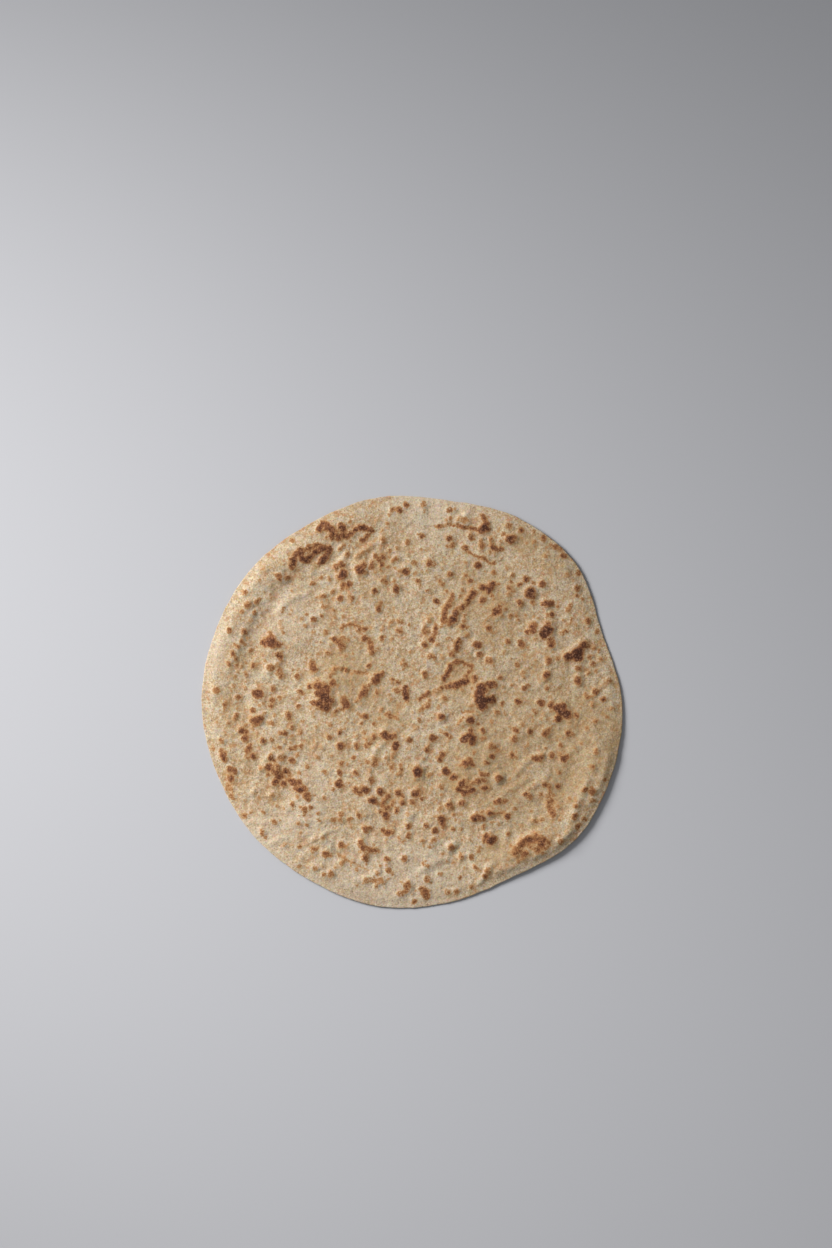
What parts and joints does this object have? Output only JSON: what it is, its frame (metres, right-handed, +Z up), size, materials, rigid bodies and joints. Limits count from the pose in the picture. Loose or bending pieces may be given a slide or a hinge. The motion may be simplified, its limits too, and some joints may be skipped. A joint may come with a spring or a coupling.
{
  "type": "flatbread",
  "caption": "Thin round wholewheat flatbread lying face up, with a slightly wavering outline, low pillows raised by steam, toasted spots and a shallow lifted rim.",
  "frame": {"origin": "on the table under the middle of the bread, where the middle of its outline meets the plane of its underside", "axes": "+Z up, out of the toasted face; +X and +Y in the plane of the bread, +X across its longest span"},
  "size_m": [0.25, 0.2446, 0.0044],
  "materials": {
    "baked_dough": "matt"
  },
  "bodies": {
    "root": {"flatbread": "baked_dough"}
  },
  "joints": []
}
